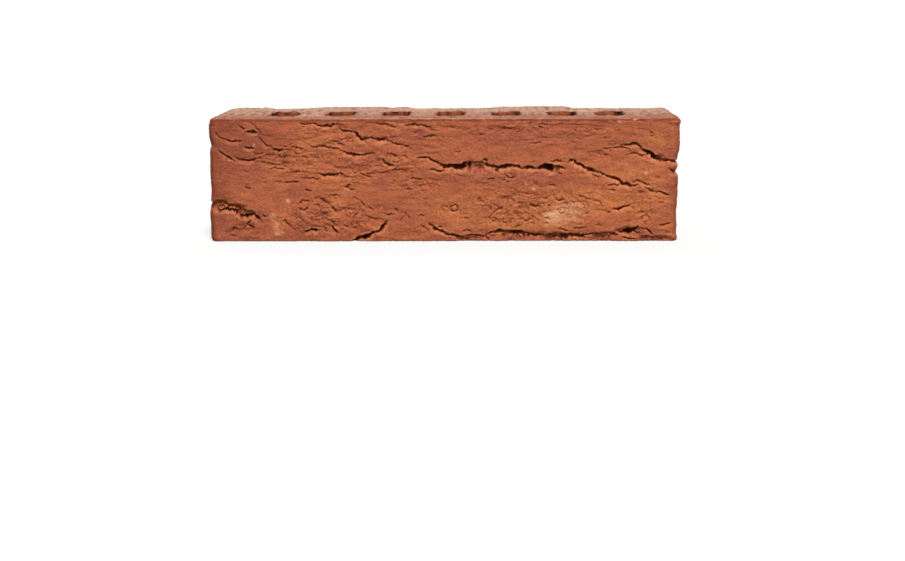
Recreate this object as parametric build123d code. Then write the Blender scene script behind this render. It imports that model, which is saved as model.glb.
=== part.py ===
from build123d import *
import math
import os

# Clinker facing brick, extruded and wire-cut, with a face that was torn open like bark.
# Frame: +X along the length, -Y the torn face, +Z up; origin at the middle of the lower bed.

# Fired size of the brick: a nominal 250 by 85 by 65 mm format after drying and firing
LENGTH = 248.0
DEPTH = 85.0
HEIGHT = 65.5

# The four upright edges are rounded by the die, the bed edges only by the cutting wire
DIE_CORNER_RADIUS = 5.0
BED_EDGE_RADIUS = 0.8

# One row of slots runs from bed to bed. The last web of the row is thinner than the others.
SLOT_COUNT = 7
SLOT_WIDTH = 14.6
SLOT_DEPTH = 37.0
SLOT_CORNER_RADIUS = 5.5
LEFT_END_WALL = 29.4
WEB = 15.65
LAST_WEB = 11.4

# A tear runs in under its upper lip, which overhangs, and its floor slopes back out to the face
LIP_UNDERCUT_ANGLE = 28.0
ROOT_GAP_SHARE = 0.45
ROOT_END_SHARE = 0.45
CUTTER_OVERHANG = 0.5

# Deep tears of the face: height of the mouth and depth in mm, and the upper lip as (along, up)
# points, each a share of the side's length from its left end and of the brick's height.
DEEP_TEARS = {
    "long_tear": (4.4, 5.0, [
        (0.446, 0.685), (0.480, 0.662), (0.495, 0.631), (0.526, 0.623), (0.550, 0.644),
        (0.588, 0.638), (0.620, 0.608), (0.644, 0.631), (0.670, 0.597), (0.692, 0.608),
    ]),
    "long_tear_hollow": (6.6, 4.2, [
        (0.549, 0.641), (0.556, 0.645), (0.568, 0.640), (0.580, 0.643), (0.594, 0.636),
    ]),
    "long_tear_end": (4.8, 5.5, [
        (0.686, 0.594), (0.706, 0.597), (0.722, 0.629), (0.742, 0.612), (0.758, 0.596),
    ]),
    "slanting_tear": (3.6, 4.4, [
        (0.767, 0.643), (0.780, 0.660), (0.802, 0.608), (0.843, 0.545), (0.865, 0.523),
        (0.882, 0.468), (0.918, 0.458),
    ]),
    "right_tear": (4.2, 4.6, [
        (0.884, 0.782), (0.914, 0.797), (0.936, 0.732), (0.961, 0.676), (0.985, 0.657),
        (1.006, 0.652),
    ]),
    "right_edge_notch": (2.6, 2.6, [(0.984, 0.592), (0.995, 0.577), (1.006, 0.562)]),
    "crown_tear": (2.6, 3.4, [
        (0.196, 0.962), (0.228, 0.963), (0.240, 0.942), (0.270, 0.958), (0.281, 0.948),
    ]),
    "crown_tear_middle": (2.8, 3.2, [
        (0.278, 0.926), (0.300, 0.899), (0.318, 0.880), (0.330, 0.836), (0.345, 0.850),
        (0.376, 0.838), (0.398, 0.806), (0.432, 0.755),
    ]),
    "upper_middle_tear": (2.8, 2.8, [
        (0.200, 0.808), (0.222, 0.777), (0.262, 0.765), (0.295, 0.720), (0.324, 0.706),
        (0.351, 0.718),
    ]),
    "upper_left_tear": (2.6, 3.0, [
        (0.020, 0.743), (0.042, 0.695), (0.066, 0.663), (0.076, 0.663), (0.112, 0.677),
    ]),
    "left_crown_tear": (2.4, 3.2, [(0.066, 0.931), (0.082, 0.898), (0.100, 0.895)]),
    "left_middle_tear": (2.6, 3.4, [(0.138, 0.751), (0.160, 0.746), (0.179, 0.754)]),
    "middle_tear": (2.6, 3.2, [(0.236, 0.555), (0.268, 0.551), (0.287, 0.545)]),
    "short_middle_tear": (2.4, 2.4, [(0.372, 0.669), (0.383, 0.634), (0.394, 0.623)]),
    "torn_hollow": (6.6, 5.0, [
        (-0.006, 0.322), (0.020, 0.334), (0.042, 0.311), (0.064, 0.283), (0.093, 0.251),
        (0.109, 0.177),
    ]),
    "left_foot_tear": (2.6, 4.6, [
        (0.297, -0.015), (0.310, 0.022), (0.338, 0.065), (0.360, 0.091), (0.378, 0.168),
    ]),
    "pebble_tear": (2.2, 3.0, [(0.203, 0.078), (0.218, 0.101), (0.233, 0.094)]),
    "middle_foot_tear": (2.2, 4.0, [
        (0.470, 0.145), (0.486, 0.100), (0.512, 0.062), (0.544, 0.037), (0.568, 0.054),
        (0.592, 0.029),
    ]),
    "right_foot_tear": (2.4, 4.4, [
        (0.592, 0.062), (0.620, 0.095), (0.638, 0.088), (0.664, 0.085), (0.686, 0.060),
        (0.718, 0.051), (0.744, 0.058), (0.780, 0.045), (0.804, 0.058), (0.858, 0.071),
        (0.874, 0.048),
    ]),
    "right_foot_hollow": (3.8, 4.6, [
        (0.872, 0.085), (0.882, 0.072), (0.915, 0.120), (0.922, 0.078),
    ]),
    "right_lower_tear": (2.6, 2.8, [(0.861, 0.269), (0.887, 0.286), (0.900, 0.303)]),
}

# Scars where a flake of the skin came off the face: shallow steps, in the same terms
FLAKE_SCARS = {
    "far_upper_left_scar": (2.4, 2.0, [(0.014, 0.895), (0.034, 0.835), (0.071, 0.822)]),
    "left_slanting_scar": (4.0, 1.4, [(0.104, 0.889), (0.113, 0.823), (0.123, 0.791), (0.135, 0.765)]),
    "left_level_scar": (3.4, 1.5, [(0.054, 0.692), (0.066, 0.668), (0.082, 0.663), (0.112, 0.677)]),
    "left_arched_scar": (5.0, 1.4, [(0.130, 0.583), (0.140, 0.611), (0.164, 0.592)]),
    "middle_left_scar": (4.0, 1.2, [(0.162, 0.483), (0.192, 0.511), (0.220, 0.515), (0.240, 0.503)]),
    "crown_scar": (2.8, 1.4, [(0.358, 0.965), (0.382, 0.952), (0.402, 0.929)]),
    "right_crown_scar": (2.4, 2.0, [(0.422, 0.945), (0.444, 0.950), (0.476, 0.929)]),
    "middle_scar": (4.0, 1.3, [(0.304, 0.574), (0.325, 0.548), (0.352, 0.515)]),
    "level_middle_scar": (3.4, 1.2, [(0.375, 0.594), (0.388, 0.595), (0.418, 0.585)]),
    "long_tear_lower_scar": (3.4, 2.0, [(0.469, 0.588), (0.480, 0.588), (0.487, 0.574), (0.513, 0.574)]),
    "right_of_hollow_scar": (3.2, 1.8, [(0.630, 0.554), (0.642, 0.520), (0.656, 0.535)]),
    "scaly_scar": (3.6, 1.4, [(0.241, 0.349), (0.252, 0.311), (0.263, 0.275), (0.272, 0.245)]),
    "upper_scaly_scar": (4.2, 1.5, [(0.194, 0.331), (0.206, 0.342), (0.221, 0.305), (0.239, 0.263)]),
    "lower_scaly_scar": (2.6, 1.8, [(0.256, 0.132), (0.263, 0.109), (0.273, 0.082)]),
    "left_scaly_scar": (3.6, 1.4, [(0.183, 0.185), (0.191, 0.194), (0.207, 0.142)]),
    "right_scaly_scar": (3.8, 1.4, [(0.676, 0.300), (0.704, 0.291), (0.715, 0.269)]),
    "lower_middle_scar": (2.6, 1.4, [(0.451, 0.138), (0.460, 0.120), (0.471, 0.092)]),
    "right_upper_scar": (2.6, 1.8, [(0.837, 0.755), (0.857, 0.763), (0.880, 0.762), (0.902, 0.743)]),
    "right_scar": (3.0, 1.4, [(0.895, 0.702), (0.901, 0.714), (0.915, 0.714), (0.932, 0.698)]),
    "right_level_scar": (3.4, 1.6, [(0.901, 0.480), (0.910, 0.497), (0.923, 0.477), (0.942, 0.458)]),
    "far_right_scar": (3.2, 1.6, [(0.931, 0.435), (0.949, 0.408), (0.971, 0.392), (0.984, 0.378)]),
}

# Tears of the two ends, in the same terms, each end seen from outside
LEFT_END_TEARS = {
    "upper": (4.0, 3.0, [(0.104, 0.677), (0.222, 0.715), (0.363, 0.692), (0.516, 0.731), (0.645, 0.685)]),
    "lower": (4.0, 3.6, [(0.245, 0.185), (0.386, 0.238), (0.551, 0.215), (0.692, 0.285), (0.822, 0.262)]),
    "middle": (3.0, 2.0, [(0.551, 0.469), (0.681, 0.500), (0.810, 0.462)]),
    "rear": (3.0, 1.8, [(0.081, 0.423), (0.198, 0.392), (0.339, 0.415)]),
    "crown": (2.6, 1.6, [(0.692, 0.885), (0.798, 0.908), (0.892, 0.877)]),
}
RIGHT_END_TEARS = {
    "upper": (4.2, 4.2, [(0.020, 0.650), (0.125, 0.646), (0.225, 0.608), (0.331, 0.631), (0.449, 0.577),
                         (0.555, 0.585)]),
    "crown": (3.6, 2.6, [(0.449, 0.854), (0.578, 0.885), (0.731, 0.838), (0.872, 0.862)]),
    "lower": (3.8, 3.0, [(0.166, 0.231), (0.296, 0.200), (0.425, 0.238), (0.566, 0.192)]),
    "rear": (3.0, 2.0, [(0.590, 0.369), (0.719, 0.408), (0.861, 0.377)]),
    "middle": (2.8, 1.8, [(0.202, 0.415), (0.331, 0.438), (0.425, 0.408)]),
}


def slot_positions():
    """Middles of the slots along the brick, from the left end wall and the webs."""
    first = -LENGTH / 2 + LEFT_END_WALL + SLOT_WIDTH / 2
    places = [first + i * (SLOT_WIDTH + WEB) for i in range(SLOT_COUNT - 1)]
    return places + [places[-1] + SLOT_WIDTH + LAST_WEB]


def extruded_body():
    """The column of clay as the die forms it, cut by wires at both beds."""
    section = RectangleRounded(LENGTH, DEPTH, DIE_CORNER_RADIUS)
    slot = RectangleRounded(SLOT_WIDTH, SLOT_DEPTH, SLOT_CORNER_RADIUS)
    block = extrude(section, HEIGHT)
    outer_rims = block.faces().filter_by(Axis.Z).edges()
    block = fillet(outer_rims, BED_EDGE_RADIUS)
    slots = [Location((x, 0, 0)) * slot for x in slot_positions()]
    return block - extrude(Sketch() + slots, HEIGHT)


def tear_outline(stations, drops, y):
    """Closed outline below an upper lip of (x, z) stations, meeting it at both ends."""
    upper = [(x, y, z) for x, z in stations]
    lower = [(x, y, z - drop) for (x, z), drop in list(zip(stations, drops))[-2:0:-1]]
    return make_face(Polyline(*upper, *lower, close=True))


def part_way(a, b, share):
    """The point that lies a share of the way from a to b."""
    return tuple(p + (q - p) * share for p, q in zip(a, b))


def tear_cutter(mouth, depth, route, width, front):
    """The open space of one tear on a side that faces -Y, is `width` wide and lies at y = front.
    It has a mouth below the lip, and a root that is narrower, shorter and higher, so that the
    lip overhangs. It is highest half way along and closes at its ends."""
    lip = [((along - 0.5) * width, up * HEIGHT) for along, up in route]
    last = len(lip) - 1
    drops = [mouth * math.sqrt(math.sin(math.pi * i / last)) for i in range(last + 1)]
    rise = depth * math.tan(math.radians(LIP_UNDERCUT_ANGLE))
    root = [(x, z + rise) for x, z in lip]
    root[0] = part_way(root[0], root[1], ROOT_END_SHARE)
    root[last] = part_way(root[last], root[last - 1], ROOT_END_SHARE)
    mouth_face = tear_outline(lip, drops, front - CUTTER_OVERHANG)
    root_face = tear_outline(root, [drop * ROOT_GAP_SHARE for drop in drops], front + depth)
    return loft([mouth_face, root_face], ruled=True)


def brick():
    """The fired brick: the extruded body with its face and both ends torn open."""
    body = extruded_body()
    sides = [
        (0, LENGTH, DEPTH, DEEP_TEARS | FLAKE_SCARS),
        (-90, DEPTH, LENGTH, LEFT_END_TEARS),
        (90, DEPTH, LENGTH, RIGHT_END_TEARS),
    ]
    for turn, width, across, tears in sides:
        for mouth, depth, route in tears.values():
            body -= Rot(0, 0, turn) * tear_cutter(mouth, depth, route, width, -across / 2)
    return body


os.makedirs("parts", exist_ok=True)
finished = brick()
finished.label = "brick"
export_step(finished, "parts/brick.step")
print("solids", len(finished.solids()), "volume", round(finished.volume), finished.bounding_box().size)
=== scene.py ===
"""Looks of a clinker facing brick: an extruded, wire-cut block whose face was torn open like bark.

Lengths are millimetres until a mesh is written, which is in metres. The upright sides are read
as one flat sheet: "run" is the distance along the brick's outline, 0 at the middle of the face
and growing to the right, and "up" is the height above the lower bed. "Relief" and "depth" are
always measured inwards from the plain block.
"""

import itertools
import math

import bpy
import numpy as np
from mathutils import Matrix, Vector
from mathutils.geometry import delaunay_2d_cdt


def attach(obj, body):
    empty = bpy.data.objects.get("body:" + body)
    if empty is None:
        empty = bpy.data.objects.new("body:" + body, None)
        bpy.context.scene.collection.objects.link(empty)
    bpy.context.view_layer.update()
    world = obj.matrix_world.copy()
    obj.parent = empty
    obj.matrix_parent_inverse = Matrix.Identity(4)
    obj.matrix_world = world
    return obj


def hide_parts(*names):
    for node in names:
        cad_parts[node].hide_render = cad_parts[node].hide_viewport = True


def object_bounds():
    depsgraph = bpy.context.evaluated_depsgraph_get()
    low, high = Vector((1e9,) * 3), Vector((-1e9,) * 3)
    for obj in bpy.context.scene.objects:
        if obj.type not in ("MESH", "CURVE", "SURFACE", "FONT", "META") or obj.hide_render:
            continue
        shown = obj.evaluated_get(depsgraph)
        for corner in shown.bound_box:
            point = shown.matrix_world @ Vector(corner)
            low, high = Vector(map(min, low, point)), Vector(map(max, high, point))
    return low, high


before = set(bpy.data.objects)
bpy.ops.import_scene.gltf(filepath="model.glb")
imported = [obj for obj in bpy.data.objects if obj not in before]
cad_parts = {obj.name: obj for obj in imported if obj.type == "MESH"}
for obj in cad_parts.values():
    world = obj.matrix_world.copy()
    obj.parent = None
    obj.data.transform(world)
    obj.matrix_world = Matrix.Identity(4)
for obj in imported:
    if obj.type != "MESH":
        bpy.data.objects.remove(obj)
cad_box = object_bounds()

# The fired brick, with the places of its slots' middles along it
LENGTH, DEPTH, HEIGHT = (round(1000 * (high - low), 2) for low, high in zip(*cad_box))
CORNER_RADIUS = 5.0
SLOT_WIDTH, SLOT_DEPTH, SLOT_RADIUS = 14.6, 37.0, 5.5
FIRST_SLOT, SLOT_PITCH, LAST_SLOT = -87.3, 30.25, 89.95
SLOT_PLACES = [round(FIRST_SLOT + SLOT_PITCH * n, 2) for n in range(6)] + [LAST_SLOT]

# Mesh spacing on each side, and the number of steps round a corner
FACE_STEP, END_STEP, BACK_STEP, ROW_STEP = 0.42, 0.85, 2.2, 0.42
UPPER_BED_STEP, LOWER_BED_STEP = 0.95, 1.8
CORNER_STEPS = 14
TRIANGLE_LIMIT = 197_000

# Rotation of the noise's cells, whose rows are the turned axes
CELL_TURN = np.array([[2, -1, 2], [2, 2, -1], [-1, 2, 2]]) / 3

# Where the photograph was taken from: picture width and focal length in pixels, place in
# metres, and angles in degrees
IMAGE_WIDTH = 905
FOCAL_PIXELS = 1750.0
CAMERA_PLACE = (0.0190, -0.9637, 0.1288)
CAMERA_PITCH, CAMERA_ROLL, CAMERA_YAW = 9.23, 0.18, 0.87


def gradient_noise(points, seed):
    """Perlin noise of an (n, 3) array: a random slope at each corner of a unit cell, blended
    across the cell by 6t^5 - 15t^4 + 10t^3. Runs from about -1 to 1. The cells are turned, so
    that their edges lie along no side of the brick."""
    points = points @ CELL_TURN
    rng = np.random.default_rng(seed)
    order = np.tile(rng.permutation(256), 2)
    slopes = rng.normal(size=(256, 3))
    slopes /= np.linalg.norm(slopes, axis=1, keepdims=True)
    cell = np.floor(points).astype(int)
    offset = points - cell
    blend = offset**3 * (offset * (offset * 6 - 15) + 10)
    total = np.zeros(len(points))
    for corner in itertools.product((0, 1), repeat=3):
        at = (cell + corner) & 255
        key = order[order[order[at[:, 0]] + at[:, 1]] + at[:, 2]]
        pull = np.einsum("ij,ij->i", slopes[key], offset - corner)
        share = np.prod(np.where(corner, blend, 1 - blend), axis=1)
        total += pull * share
    return total * 1.6


def layered_noise(points, size, seed, layers=4, gain=0.5, stretch=(1.0, 1.0, 1.0)):
    """Sum of gradient noises: the first is `size` mm across, times `stretch` along each axis,
    and each further one is half as large and `gain` times as strong."""
    scaled = points / (size * np.asarray(stretch))
    total = np.zeros(len(points))
    for layer in range(layers):
        total += gain**layer * gradient_noise(scaled * 2**layer + 31.7 * layer, seed + layer)
    return total


def smooth_step(low, high, value):
    """0 below low, 1 above high, and 3t^2 - 2t^3 between."""
    t = np.clip((value - low) / (high - low), 0, 1)
    return t * t * (3 - 2 * t)


def rounded_loop(width, depth, radius, steps, corner_steps):
    """Outline of a rounded rectangle, counter-clockwise from the middle of its back. A point is
    its corner's centre, or a point between two centres, plus the radius along its normal.
    steps are the spacings on the front, the ends and the back."""
    w, d = width / 2 - radius, depth / 2 - radius
    front, end, back = steps
    legs = [
        ((0, d), (-w, d), 90, 90, w / back),
        ((-w, d), (-w, d), 90, 180, corner_steps),
        ((-w, d), (-w, -d), 180, 180, 2 * d / end),
        ((-w, -d), (-w, -d), 180, 270, corner_steps),
        ((-w, -d), (w, -d), 270, 270, 2 * w / front),
        ((w, -d), (w, -d), 270, 360, corner_steps),
        ((w, -d), (w, d), 360, 360, 2 * d / end),
        ((w, d), (w, d), 360, 450, corner_steps),
        ((w, d), (0, d), 450, 450, w / back),
    ]
    centres, angles = [], []
    for start, stop, first, last, count in legs:
        n = max(1, round(count))
        centres.append(np.linspace(start, stop, n, endpoint=False))
        angles.append(np.linspace(first, last, n, endpoint=False))
    angle = np.radians(np.concatenate(angles))
    normals = np.stack([np.cos(angle), np.sin(angle)], axis=1)
    points = np.concatenate(centres) + radius * normals
    lengths = np.linalg.norm(np.roll(points, -1, axis=0) - points, axis=1)
    run = np.concatenate([[0.0], np.cumsum(lengths)[:-1]]) - lengths.sum() / 2
    return points, normals, run


def distance_inside(x, y, width, depth, radius):
    """Distance from a rounded rectangle's outline: negative inside, positive outside."""
    qx = np.abs(x) - width / 2 + radius
    qy = np.abs(y) - depth / 2 + radius
    outer = np.hypot(np.maximum(qx, 0), np.maximum(qy, 0))
    return outer + np.minimum(np.maximum(qx, qy), 0) - radius


# Each tear: depth, gape of its mouth, width of the slope below it, and its upper lip as
# (run, up) points from left to right.
TEARS = [
    # Upper left
    (1.8, 0.7, 1.8, [(-108.5, 60.5), (-106.8, 60.7), (-105.2, 59.8)]),
    (3.2, 0.9, 1.6, [(-105, 58.2), (-102.5, 58.5), (-99.9, 58.2)]),
    (0.7, 0.3, 2.5, [(-101.2, 62.4), (-100.2, 61.4), (-99, 59.4), (-97.6, 57), (-96.6, 55.6)]),
    (1, 0.3, 2.5, [(-121.4, 58.2), (-120, 56), (-117, 54.3), (-115, 53.7)]),
    (2.4, 0.6, 2, [(-115.6, 53.9), (-112, 53.3), (-107.3, 53.4)]),
    (2.6, 0.8, 1.4, [(-105.6, 50), (-102.6, 49.9), (-101.3, 49.5)]),
    (3.2, 0.6, 2.4, [(-119.8, 48.3), (-117.8, 47), (-115.3, 45.2), (-113.4, 44.7), (-111.5, 43.1)]),
    (1.7, 0.4, 2.4, [(-111.6, 45), (-109.8, 44.3), (-108.5, 43.4), (-106, 43.1), (-97.1, 44)]),
    (1, 0.3, 3.2, [(-99.2, 57.8), (-96.7, 53.5), (-94.2, 51.4), (-91.2, 49.7)]),
    (3.4, 0.7, 2, [(-90.6, 48.8), (-87.5, 48.5), (-84.9, 48.5)]),
    (1, 0.3, 2, [(-84.9, 48.5), (-80.2, 49)]),
    (1.4, 0.4, 3.4, [(-92.5, 37.9), (-91.2, 39.3), (-89.9, 39.7), (-87.8, 38.9), (-84, 38.5)]),
    (0.9, 0.3, 2.4, [(-84.4, 31.4), (-80.2, 31.6), (-77.2, 32.3)]),
    (0.9, 0.3, 2.6, [(-77, 33.5), (-73.4, 33.8), (-70, 33.5), (-65, 32.7)]),
    # Lower left
    (2.3, 2.6, 2.4, [(-131, 20.6), (-126.5, 20.9), (-123.3, 21.1), (-120, 21.7), (-117.4, 20.6),
                     (-114.5, 20.2), (-111.1, 19.6), (-109, 18.4), (-106.8, 17.1), (-101.8, 16.3),
                     (-100.5, 14), (-98.8, 12.7), (-97.8, 11.5)]),
    (5.2, 0.9, 1.4, [(-121.4, 17.9), (-119.5, 16.6), (-117, 16.9), (-114.9, 17.6), (-111.9, 16.7),
                     (-109, 16.2), (-107, 15.8)]),
    (4.6, 0.9, 1.2, [(-109.6, 15), (-107.4, 13.4), (-106, 13.2), (-103, 14.2), (-101.4, 13.4)]),
    (4, 0.7, 1, [(-102.2, 15.6), (-100.4, 13.6), (-98.9, 11.6)]),
    (1.2, 0.4, 1.2, [(-107.3, 7.6), (-105.3, 9.6), (-103.3, 11.7)]),
    (2.2, 0.8, 1.2, [(-104.9, 8.7), (-103.6, 8.8), (-102.4, 8.5)]),
    (1, 0.3, 1.8, [(-114, 5.3), (-112.8, 6.5), (-111.1, 7), (-109.6, 5.7)]),
    (3, 0.7, 1.8, [(-74.3, 5.1), (-72.6, 5.9), (-70.5, 6.6), (-67.9, 6.9), (-66.7, 6.1)]),
    (1, 0.3, 1.6, [(-76.4, 21.5), (-75.1, 22), (-73.4, 21.6), (-71.3, 22)]),
    # Crown, left of the middle
    (1.3, 0.4, 2, [(-76, 62.5), (-72, 62.6), (-69, 62.5)]),
    (3.4, 0.7, 1.8, [(-69.2, 62.6), (-67, 61.7), (-65, 61.2), (-62.6, 61.7), (-59.7, 61.4),
                     (-57.5, 62.4), (-55, 62)]),
    (1.6, 0.4, 2.4, [(-55.2, 60.1), (-53.7, 59.1), (-50.3, 58.4), (-47.4, 58)]),
    (3.4, 0.8, 2, [(-47.6, 58.1), (-45.7, 57.1), (-44.8, 56), (-42.7, 54.3), (-40.6, 54.5)]),
    (1, 0.3, 1.6, [(-42.3, 53.7), (-40.6, 51.8)]),
    (3.2, 0.8, 2.2, [(-39.8, 55.1), (-38.1, 55.3), (-36.4, 54.5), (-32.2, 54.4), (-30.9, 54.7)]),
    (1.6, 0.4, 2.6, [(-30.9, 54.6), (-30, 53.7), (-27.9, 53), (-25.4, 51.8), (-20.7, 50.9),
                     (-17.1, 49.1)]),
    (1.2, 0.4, 2.4, [(-75, 52.5), (-72, 51.5), (-70, 50.5), (-66, 50.3), (-59.2, 49.7),
                     (-55.4, 48.7), (-52.9, 47.9)]),
    (2.8, 0.7, 2.4, [(-53.2, 48), (-51.2, 46.8), (-48.2, 46.5), (-44, 45.9), (-41, 46.1),
                     (-37.2, 46.7)]),
    (3.2, 0.7, 2, [(-66, 36.1), (-62, 35.9), (-58, 35.8), (-55, 36.6), (-53.3, 35.4)]),
    (2.4, 0.6, 2, [(-31.9, 43.5), (-30.9, 42), (-29.2, 41.2), (-26.4, 40.5)]),
    (0.9, 0.3, 2, [(-29.2, 46.2), (-26.2, 46), (-23.5, 45.4)]),
    (0.9, 0.3, 2, [(-22, 44.7), (-20.3, 45.2), (-18.6, 43.9)]),
    (1, 0.3, 2, [(-49.3, 31.9), (-47.4, 31.2), (-45.3, 31.5), (-44, 31)]),
    (0.8, 0.3, 2, [(-50.4, 28), (-47.4, 28.1)]),
    (0.9, 0.3, 2.8, [(-49, 37.3), (-43.6, 35.6), (-36.8, 33.5)]),
    (0.9, 0.3, 2.2, [(-27.9, 38.7), (-20.3, 38)]),
    (0.9, 0.3, 2, [(-19.7, 33.1), (-15, 33.6), (-11.4, 33.5)]),
    (0.9, 0.3, 1.6, [(-14.2, 30.1), (-11.9, 29.4), (-9.9, 30)]),
    (0.8, 0.3, 2, [(-21.4, 27.9), (-16.5, 27.9)]),
    (1.2, 0.4, 2.4, [(-35.3, 62.7), (-32.2, 62.2), (-29.2, 61.9), (-26.2, 60.9), (-24.1, 60.4)]),
    (2, 0.5, 2.2, [(-19.5, 61.4), (-15.2, 61.8), (-11.4, 61.6), (-9.3, 60.9), (-5.9, 60.4)]),
    (1, 0.3, 1.8, [(-9.9, 55.5), (-6.8, 55.6), (-5.1, 56.4), (-3, 55.2)]),
    # Foot, left of the middle
    (4.6, 1.3, 2.4, [(-50.8, -1), (-49.3, 0.5), (-47.4, 1.4), (-44.4, 3.1), (-40.6, 4.2),
                     (-37.2, 4.9), (-35.1, 5.9), (-33.4, 7.8), (-31.7, 9.8), (-30.6, 10.9)]),
    (2.4, 0.7, 1.8, [(-60.9, 8.6), (-59.2, 7.1), (-56.7, 5.3)]),
    (0.9, 0.3, 1.8, [(-31.9, 15.2), (-30, 14.4), (-26.2, 14.6)]),
    # The long tear across the middle
    (2.2, 0.6, 2.4, [(-13.5, 44.3), (-10.2, 44.7), (-7.6, 44.3), (-5.5, 43.1), (-3.4, 42.2),
                     (-1.3, 41.1)]),
    (5.6, 2.1, 2.6, [(-2.4, 41.6), (-1.3, 41), (2.2, 40.6), (6.5, 40.5), (9.8, 41), (11.5, 41.8),
                     (13.7, 41.9), (14.6, 41.4)]),
    (2.4, 0.5, 5.4, [(14, 41.4), (17, 41.7), (20, 41.7), (22.6, 41.3)]),
    (5, 1.2, 2.8, [(21.6, 41.6), (25, 40.8), (27.6, 40.2), (30.1, 39.5), (33.1, 40.6),
                     (36.1, 41), (37.8, 40.4), (39.9, 40.2), (40.7, 39.1), (42.4, 38.7)]),
    (4.2, 1, 2.2, [(41.6, 39), (45.8, 39.7), (47.9, 39.1), (50.5, 38.6)]),
    (6, 2.4, 2.2, [(49.8, 38.8), (52.6, 39.6), (54.3, 40.9), (57.2, 40.6), (60.4, 38.6)]),
    (3.8, 0.9, 2.2, [(58.1, 39.6), (61.9, 40.1), (64.6, 38.7)]),
    (2, 0.5, 1.6, [(20.9, 42.4), (22.5, 43.6), (23.6, 42)]),
    (4.4, 1.2, 2.6, [(66.7, 41.8), (68.3, 43.1), (70, 42.9), (70.8, 41.8), (72.2, 41.2),
                     (74.3, 40.6), (75.5, 39.5), (78.9, 38.3), (83.2, 36.9)]),
    (3.2, 0.8, 2.2, [(82.4, 37.2), (85.1, 36.2), (85.9, 35.2), (88.2, 34.4), (91.2, 34),
                     (92.9, 33.1), (94.1, 31.4), (95.4, 30.5), (98, 30.6), (100.1, 29.7),
                     (104.3, 29.8)]),
    (1.8, 0.5, 1.6, [(-7.6, 38.2), (-4.7, 38.2), (-3, 37.3), (2, 37.3)]),
    (2.8, 0.8, 1.6, [(27.6, 38.4), (28.9, 37.5), (29.7, 36.5)]),
    (1.8, 0.5, 2, [(32.7, 36), (34, 34.6), (35.6, 33.8), (37.2, 33.9), (38.6, 34.8)]),
    (1.4, 0.4, 1.6, [(56.4, 42.2), (61.5, 42.9), (64, 42.3)]),
    (1.4, 0.4, 1.6, [(60.6, 36), (63.4, 35.8)]),
    (1.4, 0.4, 2.2, [(78.9, 37), (81, 35.2), (83.2, 33.7)]),
    (1.2, 0.4, 2, [(87.4, 30), (91.6, 29.8), (95, 30.4)]),
    # Right
    (1.6, 0.4, 2.6, [(100.5, 31.2), (102.6, 32.3), (104.3, 31.9), (106, 31), (110.6, 29.8)]),
    (1.6, 0.4, 2.2, [(107.7, 28.3), (109.8, 27.5), (112.3, 26.5), (114.9, 26.9), (117.8, 25.5),
                     (120.4, 24.6)]),
    (2.2, 0.6, 2.4, [(95.8, 50.8), (99.2, 51.4), (101.8, 51.8), (103.7, 51.4), (105.1, 49.7),
                     (107.2, 48.2)]),
    (5, 1.5, 2.6, [(106.4, 48.6), (109, 47.6), (111.5, 46.8), (112.8, 45.4), (115.3, 43.9),
                     (117, 43.4)]),
    (3.4, 0.8, 2.2, [(114.6, 44.2), (117.8, 43.2), (121.2, 42.7), (124.6, 42.5), (129, 42.9),
                     (133.5, 41.8)]),
    (1.2, 0.4, 2, [(84.8, 49.1), (90, 49.6), (95, 49.5), (98.4, 49.3), (100.1, 48.3)]),
    (1.2, 0.4, 2, [(99.2, 45.6), (100.9, 46.4), (104.3, 46.4), (106, 45.6), (108.5, 45.4)]),
    (2.6, 0.9, 1.8, [(121.2, 38.3), (123.3, 37.7), (125.6, 36.6), (128, 36.4)]),
    (2.8, 0.6, 2.2, [(90.3, 17.5), (93.7, 17.8), (96.7, 18.6), (100.1, 19.7)]),
    (1.2, 0.4, 2, [(114.5, 8.4), (118.3, 9.1), (120.8, 9.9)]),
    (1, 0.3, 1.6, [(114, 20.4), (117.4, 20.8)]),
    (1.4, 0.4, 2, [(46.2, 19.4), (50.9, 18.9), (52.6, 17.5)]),
    # Foot, right of the middle
    (1.2, 0.4, 2.4, [(-12.3, 9), (-10.2, 7.8), (-7.4, 6)]),
    (4, 1, 2, [(-7.6, 9.4), (-5.1, 7.8), (-3.4, 6.5), (0, 5.3), (3.1, 4), (6.5, 3.4),
                     (11.1, 2.4)]),
    (1.8, 0.5, 1.6, [(10.7, 3.2), (14.1, 3.6), (17, 3.5), (20.8, 3), (23, 1.9)]),
    (4.6, 1.3, 2, [(23, 4), (24.6, 5.2), (27.2, 5.8), (30.1, 6.2), (34.4, 5.8), (37.3, 5.3),
                     (41.1, 5.5), (43.7, 4.5), (46.6, 3.9), (50.5, 3.7), (54.6, 3.3)]),
    (4, 1.1, 1.6, [(53.8, 3.5), (58.5, 4), (64, 3.2), (68.3, 2.9), (72.6, 3.2), (76, 3.8),
                     (81, 4.1), (85.3, 4.6), (89.5, 4.6), (91.6, 3.8), (93.6, 3.1)]),
    (4.6, 1.8, 1.6, [(92.9, 5.5), (95.4, 4.7), (98, 5.4), (101.8, 7.1), (103.7, 7.8), (105.4, 5.1)]),
    (1.8, 0.5, 1.8, [(104.7, 7.1), (107.7, 6.5), (109.8, 5.7), (111.1, 4)]),
    (1.6, 0.5, 1.2, [(100.9, 2.6), (107.7, 2.5), (111.1, 2.4), (114.9, 1.6), (120.4, 1.1)]),
    (1.6, 0.4, 1, [(60, 1.9), (65, 1.4), (70, 1.6), (73, 2.2)]),
    (2, 0.4, 0.8, [(73, 2.9), (77, 3.3), (83, 3.4), (89, 3), (92.6, 2.2)]),
    (2, 0.4, 0.8, [(73.2, 2.2), (76, 1.2), (81, 0.8), (87, 1), (92.4, 1.8)]),
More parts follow.
